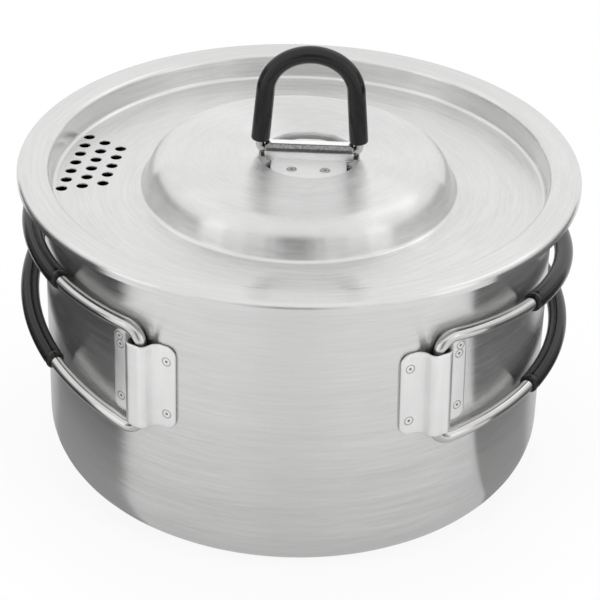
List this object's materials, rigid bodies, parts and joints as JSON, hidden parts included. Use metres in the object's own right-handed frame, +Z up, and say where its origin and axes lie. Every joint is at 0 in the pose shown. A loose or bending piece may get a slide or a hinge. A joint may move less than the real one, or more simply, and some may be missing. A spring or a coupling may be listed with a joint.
{
  "type": "camping pot",
  "caption": "Stainless steel camping pot with a straight drawn body, wire handles that fold back round its wall, and a strainer lid with a standing ring.",
  "frame": {"origin": "on the pot's axis at its base, where the pot stands", "axes": "+Z up along the pot's axis, -Y the front between the two hinge brackets, +X to the right as seen from the front"},
  "size_m": [0.1769, 0.176, 0.1409],
  "materials": {
    "brushed_sheet": "satin, brushed in circles round the pot's axis",
    "strap_sheet": "plain rolled sheet, soft sheen",
    "weld_metal": "pressed spot weld marks",
    "bright_wire": "bright drawn wire",
    "black_sleeve": "smooth soft tube with a low sheen"
  },
  "bodies": {
    "pot": {"pot_body": "brushed_sheet", "left_hinge_bracket": "strap_sheet", "right_hinge_bracket": "strap_sheet", "left_bracket_weld_front_upper": "weld_metal", "left_bracket_weld_front_lower": "weld_metal", "left_bracket_weld_rear_upper": "weld_metal", "left_bracket_weld_rear_lower": "weld_metal", "right_bracket_weld_front_upper": "weld_metal", "right_bracket_weld_front_lower": "weld_metal", "right_bracket_weld_rear_upper": "weld_metal", "right_bracket_weld_rear_lower": "weld_metal"},
    "lid": {"lid_shell": "brushed_sheet", "lid_ring_clip": "strap_sheet", "clip_weld_front_left": "weld_metal", "clip_weld_front_right": "weld_metal", "clip_weld_rear_left": "weld_metal", "clip_weld_rear_right": "weld_metal"},
    "lid_ring": {"lid_ring_wire": "bright_wire", "lid_ring_sleeve": "black_sleeve"},
    "left_handle": {"left_handle_wire": "bright_wire", "left_handle_sleeve": "black_sleeve"},
    "right_handle": {"right_handle_wire": "bright_wire", "right_handle_sleeve": "black_sleeve"}
  },
  "joints": [
    {"name": "lid_lift", "type": "slide", "parent": "pot", "child": "lid", "axis": [0, 0, 1], "range_m": [0, 0.15]},
    {"name": "ring_hinge", "type": "hinge", "parent": "lid", "child": "lid_ring", "pos_m": [0.0029, 0, 0.1056], "axis": [1, 0, 0], "range_deg": [-66, 66]},
    {"name": "left_handle_hinge", "type": "hinge", "parent": "pot", "child": "left_handle", "pos_m": [-0.04396, -0.06981, 0.0626], "axis": [0.0236, -0.0149, 0.9996], "range_deg": [-0.3, 177.7]},
    {"name": "right_handle_hinge", "type": "hinge", "parent": "pot", "child": "right_handle", "pos_m": [0.04396, -0.06981, 0.0637], "axis": [0, 0, -1], "range_deg": [0, 178]}
  ]
}
